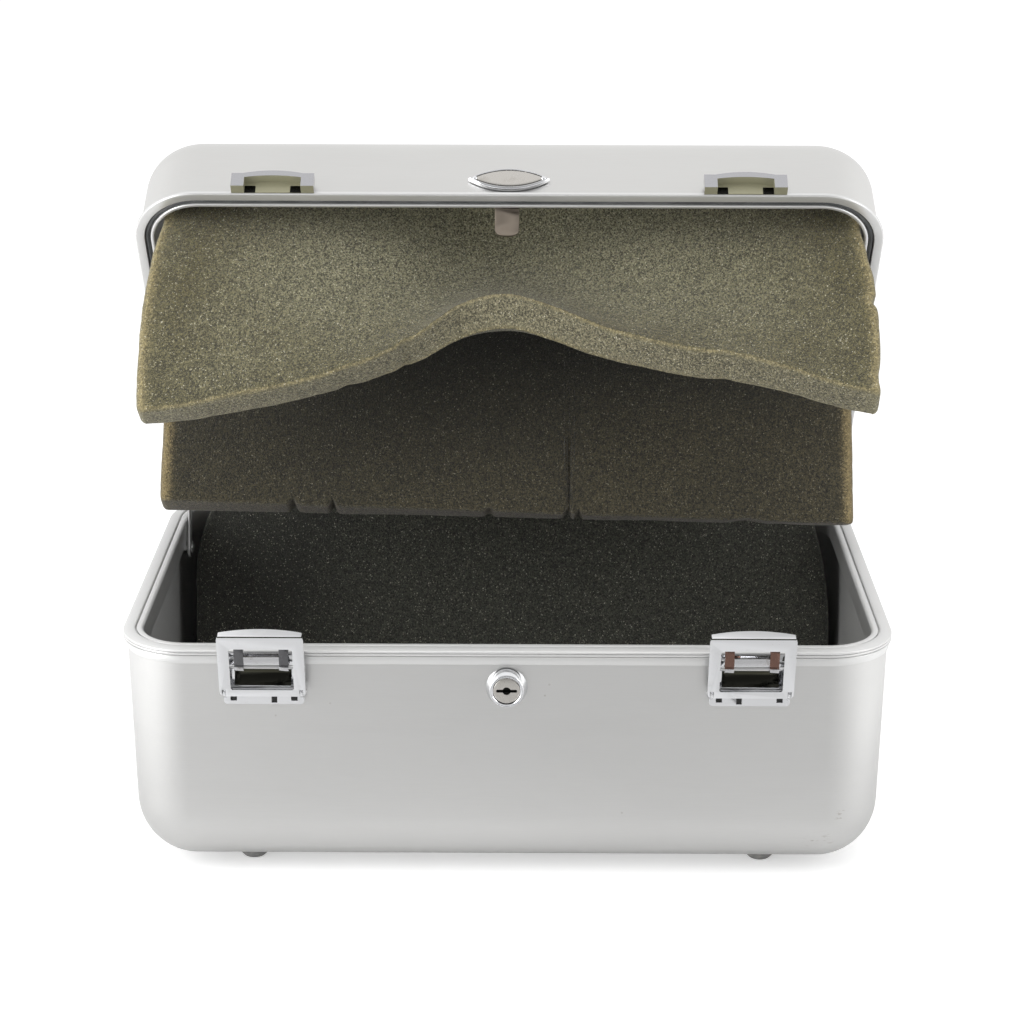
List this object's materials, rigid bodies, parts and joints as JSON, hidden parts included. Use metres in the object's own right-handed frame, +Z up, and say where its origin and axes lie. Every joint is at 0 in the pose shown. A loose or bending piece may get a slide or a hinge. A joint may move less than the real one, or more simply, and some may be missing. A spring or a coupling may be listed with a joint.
{
  "type": "utility case",
  "caption": "Drawn aluminium carrying case with a hinged lid held open by a slotted stay, draw latches with claws, a cam lock, a top handle and loose foam slabs.",
  "frame": {"origin": "middle of the bounding box with the lid open as in the picture, at the height of the flat undersides of the feet", "axes": "+Z up, -Y towards the front with the latches, +X along the width to the right as seen from the front"},
  "size_m": [0.457, 0.347, 0.4156],
  "materials": {
    "shell_aluminium": "satin",
    "frame_aluminium": "satin",
    "seal_rubber": "matte",
    "foot_rubber": "matte",
    "latch_chrome": "polished",
    "zinc_steel": "satin",
    "lock_nickel": "satin",
    "grip_plastic": "matte",
    "light_foam": "matte",
    "dark_foam": "matte"
  },
  "bodies": {
    "base": {"base_shell": "shell_aluminium", "base_frame": "frame_aluminium", "foot_front_left": "foot_rubber", "foot_front_right": "foot_rubber", "foot_back_left": "foot_rubber", "foot_back_right": "foot_rubber", "latch_plate_left": "latch_chrome", "latch_plate_right": "latch_chrome", "latch_pin_left": "zinc_steel", "latch_pin_right": "zinc_steel", "lock_housing": "lock_nickel", "lock_nut": "lock_nickel", "hinge_base_leaf_left": "zinc_steel", "hinge_base_leaf_right": "zinc_steel", "hinge_pin_left": "zinc_steel", "hinge_pin_right": "zinc_steel", "stay_post": "zinc_steel", "foam_rear": "dark_foam"},
    "lid": {"lid_shell": "shell_aluminium", "lid_frame": "frame_aluminium", "lid_seal": "seal_rubber", "keeper_left": "latch_chrome", "keeper_right": "latch_chrome", "nameplate": "latch_chrome", "catch_tab": "frame_aluminium", "stay_rivet": "zinc_steel", "hinge_lid_leaf_left": "zinc_steel", "hinge_lid_leaf_right": "zinc_steel", "handle_bracket_left": "zinc_steel", "handle_bracket_right": "zinc_steel", "foam_front": "light_foam", "foam_middle": "light_foam"},
    "lever_left": {"latch_lever_left": "latch_chrome", "claw_pin_left": "zinc_steel"},
    "lever_right": {"latch_lever_right": "latch_chrome", "claw_pin_right": "zinc_steel"},
    "claws_left": {"latch_claw_left": "latch_chrome"},
    "claws_right": {"latch_claw_right": "latch_chrome"},
    "lock_plug": {"lock_core": "lock_nickel", "lock_cam": "zinc_steel"},
    "stay_arm": {"stay_arm": "zinc_steel"},
    "handle": {"handle_bail": "latch_chrome", "handle_grip": "grip_plastic"}
  },
  "joints": [
    {"name": "lid_hinge", "type": "hinge", "parent": "base", "child": "lid", "pos_m": [0, 0.13824, 0.152], "axis": [-1, 0, 0], "range_deg": [-55.4, 0]},
    {"name": "stay_swing", "type": "hinge", "parent": "lid", "child": "stay_arm", "pos_m": [-0.2148, 0.11106, 0.20549], "axis": [-1, 0, 0], "range_deg": [0, 27.7]},
    {"name": "lever_left_turn", "type": "hinge", "parent": "base", "child": "lever_left", "pos_m": [-0.1415, -0.16076, 0.1275], "axis": [1, 0, 0], "range_deg": [-13, 95]},
    {"name": "claws_left_swing", "type": "hinge", "parent": "lever_left", "child": "claws_left", "pos_m": [-0.1415, -0.1649, 0.14451], "axis": [1, 0, 0], "range_deg": [0, 25]},
    {"name": "lever_right_turn", "type": "hinge", "parent": "base", "child": "lever_right", "pos_m": [0.1415, -0.16076, 0.1275], "axis": [1, 0, 0], "range_deg": [-13, 95]},
    {"name": "claws_right_swing", "type": "hinge", "parent": "lever_right", "child": "claws_right", "pos_m": [0.1415, -0.1649, 0.14451], "axis": [1, 0, 0], "range_deg": [0, 25]},
    {"name": "lock_turn", "type": "hinge", "parent": "base", "child": "lock_plug", "pos_m": [0, -0.15576, 0.128], "axis": [0, -1, 0], "range_deg": [0, 90]},
    {"name": "handle_swing", "type": "hinge", "parent": "lid", "child": "handle", "pos_m": [0, 0.10159, 0.32839], "axis": [1, 0, 0], "range_deg": [0, 90]}
  ],
  "couplings": [
    {"joint": "stay_swing", "follows": "lid_hinge", "ratio": -0.5}
  ]
}
